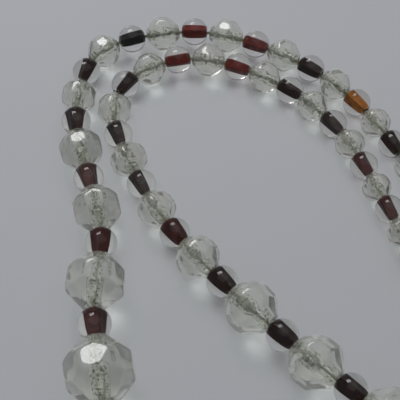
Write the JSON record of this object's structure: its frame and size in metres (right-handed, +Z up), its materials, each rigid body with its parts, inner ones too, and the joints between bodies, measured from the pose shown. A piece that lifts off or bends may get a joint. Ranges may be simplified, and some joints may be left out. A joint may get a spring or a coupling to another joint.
{
  "type": "glass bead strand",
  "caption": "Closed strand of graduated faceted clear glass beads with round spacer beads lined in dark red between them, strung on one thread with a small bolt ring clasp.",
  "frame": {"origin": "bottom centre of the beads' own box, on the surface that the strand lies on", "axes": "+Z up from that surface, +Y from the largest beads at the front to the small beads at the back, +X to the right"},
  "size_m": [0.0792, 0.1078, 0.0117],
  "materials": {
    "cut_glass": "clear pressed and polished glass with a faint green grey tint, facet edges softened by fire polishing",
    "spacer_glass": "clear glass with a faint rose tint",
    "lining": "dark red lacquer lining inside the bore",
    "thread": "twisted olive grey thread",
    "clasp_metal": "plated and polished, slightly worn"
  },
  "bodies": {
    "root": {"thread": "thread", "spacer_glass_1": "spacer_glass", "spacer_glass_2": "spacer_glass", "spacer_glass_3": "spacer_glass", "spacer_glass_4": "spacer_glass", "spacer_glass_5": "spacer_glass", "spacer_glass_6": "spacer_glass", "spacer_cores_1": "lining", "spacer_cores_2": "lining", "spacer_cores_3": "lining", "spacer_cores_4": "lining", "spacer_cores_5": "lining", "spacer_cores_6": "lining", "outer_end_cap": "clasp_metal", "inner_end_cap": "clasp_metal", "outer_jump_ring": "clasp_metal", "inner_jump_ring": "clasp_metal", "clasp_ring": "clasp_metal"},
    "bead_01": {"bead_01": "cut_glass"},
    "bead_02": {"bead_02": "cut_glass"},
    "bead_03": {"bead_03": "cut_glass"},
    "bead_04": {"bead_04": "cut_glass"},
    "bead_05": {"bead_05": "cut_glass"},
    "bead_06": {"bead_06": "cut_glass"},
    "bead_07": {"bead_07": "cut_glass"},
    "bead_08": {"bead_08": "cut_glass"},
    "bead_09": {"bead_09": "cut_glass"},
    "bead_10": {"bead_10": "cut_glass"},
    "bead_11": {"bead_11": "cut_glass"},
    "bead_12": {"bead_12": "cut_glass"},
    "bead_13": {"bead_13": "cut_glass"},
    "bead_14": {"bead_14": "cut_glass"},
    "bead_15": {"bead_15": "cut_glass"},
    "bead_16": {"bead_16": "cut_glass"},
    "bead_17": {"bead_17": "cut_glass"},
    "bead_18": {"bead_18": "cut_glass"},
    "bead_19": {"bead_19": "cut_glass"},
    "bead_20": {"bead_20": "cut_glass"},
    "bead_21": {"bead_21": "cut_glass"},
    "bead_22": {"bead_22": "cut_glass"},
    "bead_23": {"bead_23": "cut_glass"},
    "bead_24": {"bead_24": "cut_glass"},
    "bead_25": {"bead_25": "cut_glass"},
    "bead_26": {"bead_26": "cut_glass"},
    "bead_27": {"bead_27": "cut_glass"},
    "bead_28": {"bead_28": "cut_glass"},
    "bead_29": {"bead_29": "cut_glass"},
    "bead_30": {"bead_30": "cut_glass"},
    "bead_31": {"bead_31": "cut_glass"},
    "bead_32": {"bead_32": "cut_glass"},
    "bead_33": {"bead_33": "cut_glass"},
    "bead_34": {"bead_34": "cut_glass"},
    "bead_35": {"bead_35": "cut_glass"},
    "bead_36": {"bead_36": "cut_glass"},
    "bead_37": {"bead_37": "cut_glass"},
    "bead_38": {"bead_38": "cut_glass"},
    "bead_39": {"bead_39": "cut_glass"},
    "clasp_bolt": {"clasp_bolt": "clasp_metal"}
  },
  "joints": [
    {"name": "bead_01_spin", "type": "hinge", "parent": "root", "child": "bead_01", "pos_m": [0.03689, -0.0045, 0.00202], "axis": [0.3294, 0.9442, 0], "continuous": true},
    {"name": "bead_02_spin", "type": "hinge", "parent": "root", "child": "bead_02", "pos_m": [0.03657, 0.00421, 0.00202], "axis": [-0.3983, 0.9173, 0], "continuous": true},
    {"name": "bead_03_spin", "type": "hinge", "parent": "root", "child": "bead_03", "pos_m": [0.03085, 0.01074, 0.00202], "axis": [-0.8079, 0.5894, 0], "continuous": true},
    {"name": "bead_04_spin", "type": "hinge", "parent": "root", "child": "bead_04", "pos_m": [0.02341, 0.01511, 0.00207], "axis": [-0.8542, 0.5199, 0], "continuous": true},
    {"name": "bead_05_spin", "type": "hinge", "parent": "root", "child": "bead_05", "pos_m": [0.01644, 0.02025, 0.00207], "axis": [-0.7177, 0.6963, 0], "continuous": true},
    {"name": "bead_06_spin", "type": "hinge", "parent": "root", "child": "bead_06", "pos_m": [0.01118, 0.02715, 0.00207], "axis": [-0.521, 0.8536, 0], "continuous": true},
    {"name": "bead_07_spin", "type": "hinge", "parent": "root", "child": "bead_07", "pos_m": [0.00691, 0.03473, 0.00212], "axis": [-0.537, 0.8436, 0], "continuous": true},
    {"name": "bead_08_spin", "type": "hinge", "parent": "root", "child": "bead_08", "pos_m": [0.00129, 0.04167, 0.00226], "axis": [-0.7144, 0.6997, 0], "continuous": true},
    {"name": "bead_09_spin", "type": "hinge", "parent": "root", "child": "bead_09", "pos_m": [-0.00621, 0.04711, 0.0024], "axis": [-0.8704, 0.4924, 0], "continuous": true},
    {"name": "bead_10_spin", "type": "hinge", "parent": "root", "child": "bead_10", "pos_m": [-0.01496, 0.05085, 0.00249], "axis": [-0.9637, 0.2671, 0], "continuous": true},
    {"name": "bead_11_spin", "type": "hinge", "parent": "root", "child": "bead_11", "pos_m": [-0.02464, 0.0513, 0.00249], "axis": [-0.9914, -0.1306, 0], "continuous": true},
    {"name": "bead_12_spin", "type": "hinge", "parent": "root", "child": "bead_12", "pos_m": [-0.03363, 0.04793, 0.0024], "axis": [-0.7382, -0.6746, 0], "continuous": true},
    {"name": "bead_13_spin", "type": "hinge", "parent": "root", "child": "bead_13", "pos_m": [-0.03696, 0.03928, 0.00254], "axis": [-0.1045, -0.9945, 0], "continuous": true},
    {"name": "bead_14_spin", "type": "hinge", "parent": "root", "child": "bead_14", "pos_m": [-0.03613, 0.02934, 0.00305], "axis": [0.2502, -0.9682, 0], "continuous": true},
    {"name": "bead_15_spin", "type": "hinge", "parent": "root", "child": "bead_15", "pos_m": [-0.03338, 0.01907, 0.00334], "axis": [0.2277, -0.9737, 0], "continuous": true},
    {"name": "bead_16_spin", "type": "hinge", "parent": "root", "child": "bead_16", "pos_m": [-0.03293, 0.00717, 0.004], "axis": [-0.0499, -0.9988, 0], "continuous": true},
    {"name": "bead_17_spin", "type": "hinge", "parent": "root", "child": "bead_17", "pos_m": [-0.03181, -0.00609, 0.00461], "axis": [0.1569, -0.9876, 0], "continuous": true},
    {"name": "bead_18_spin", "type": "hinge", "parent": "root", "child": "bead_18", "pos_m": [-0.03026, -0.02051, 0.00517], "axis": [0.033, -0.9995, 0], "continuous": true},
    {"name": "bead_19_spin", "type": "hinge", "parent": "root", "child": "bead_19", "pos_m": [-0.02623, -0.03566, 0.00564], "axis": [0.5114, -0.8594, 0], "continuous": true},
    {"name": "bead_20_spin", "type": "hinge", "parent": "root", "child": "bead_20", "pos_m": [-0.01419, -0.04683, 0.00588], "axis": [0.8999, -0.4362, 0], "continuous": true},
    {"name": "bead_21_spin", "type": "hinge", "parent": "root", "child": "bead_21", "pos_m": [0.00209, -0.0479, 0.00564], "axis": [0.9444, 0.3288, 0], "continuous": true},
    {"name": "bead_22_spin", "type": "hinge", "parent": "root", "child": "bead_22", "pos_m": [0.01359, -0.03738, 0.00517], "axis": [0.394, 0.9191, 0], "continuous": true},
    {"name": "bead_23_spin", "type": "hinge", "parent": "root", "child": "bead_23", "pos_m": [0.01343, -0.0229, 0.00461], "axis": [-0.4417, 0.8972, 0], "continuous": true},
    {"name": "bead_24_spin", "type": "hinge", "parent": "root", "child": "bead_24", "pos_m": [0.00503, -0.01251, 0.00404], "axis": [-0.7483, 0.6634, 0], "continuous": true},
    {"name": "bead_25_spin", "type": "hinge", "parent": "root", "child": "bead_25", "pos_m": [-0.00394, -0.00447, 0.00357], "axis": [-0.7344, 0.6787, 0], "continuous": true},
    {"name": "bead_26_spin", "type": "hinge", "parent": "root", "child": "bead_26", "pos_m": [-0.01211, 0.0035, 0.00348], "axis": [-0.695, 0.719, 0], "continuous": true},
    {"name": "bead_27_spin", "type": "hinge", "parent": "root", "child": "bead_27", "pos_m": [-0.01928, 0.01151, 0.00296], "axis": [-0.6373, 0.7706, 0], "continuous": true},
    {"name": "bead_28_spin", "type": "hinge", "parent": "root", "child": "bead_28", "pos_m": [-0.02503, 0.0195, 0.00263], "axis": [-0.5069, 0.862, 0], "continuous": true},
    {"name": "bead_29_spin", "type": "hinge", "parent": "root", "child": "bead_29", "pos_m": [-0.02923, 0.02791, 0.00259], "axis": [-0.383, 0.9238, 0], "continuous": true},
    {"name": "bead_30_spin", "type": "hinge", "parent": "root", "child": "bead_30", "pos_m": [-0.03161, 0.03696, 0.00249], "axis": [0.071, 0.9975, 0], "continuous": true},
    {"name": "bead_31_spin", "type": "hinge", "parent": "root", "child": "bead_31", "pos_m": [-0.02661, 0.04456, 0.00235], "axis": [0.8753, 0.4837, 0], "continuous": true},
    {"name": "bead_32_spin", "type": "hinge", "parent": "root", "child": "bead_32", "pos_m": [-0.01766, 0.04618, 0.00244], "axis": [0.9846, -0.175, 0], "continuous": true},
    {"name": "bead_33_spin", "type": "hinge", "parent": "root", "child": "bead_33", "pos_m": [-0.00924, 0.04291, 0.00235], "axis": [0.8676, -0.4973, 0], "continuous": true},
    {"name": "bead_34_spin", "type": "hinge", "parent": "root", "child": "bead_34", "pos_m": [-0.00226, 0.03767, 0.00221], "axis": [0.709, -0.7052, 0], "continuous": true},
    {"name": "bead_35_spin", "type": "hinge", "parent": "root", "child": "bead_35", "pos_m": [0.00285, 0.03091, 0.00212], "axis": [0.4688, -0.8833, 0], "continuous": true},
    {"name": "bead_36_spin", "type": "hinge", "parent": "root", "child": "bead_36", "pos_m": [0.00622, 0.0235, 0.00202], "axis": [0.3826, -0.9239, 0], "continuous": true},
    {"name": "bead_37_spin", "type": "hinge", "parent": "root", "child": "bead_37", "pos_m": [0.00914, 0.01605, 0.00202], "axis": [0.3496, -0.9369, 0], "continuous": true},
    {"name": "bead_38_spin", "type": "hinge", "parent": "root", "child": "bead_38", "pos_m": [0.01197, 0.00854, 0.00202], "axis": [0.3893, -0.9211, 0], "continuous": true},
    {"name": "bead_39_spin", "type": "hinge", "parent": "root", "child": "bead_39", "pos_m": [0.01566, 0.00134, 0.00202], "axis": [0.5458, -0.8379, 0], "continuous": true},
    {"name": "clasp_bolt_slide", "type": "hinge", "parent": "root", "child": "clasp_bolt", "pos_m": [0.02559, -0.00877, 0.00208], "axis": [0, 0, 1], "range_deg": [0, 57], "stiffness_Nm_per_rad": 0.00001, "springref_deg": -17.19}
  ]
}
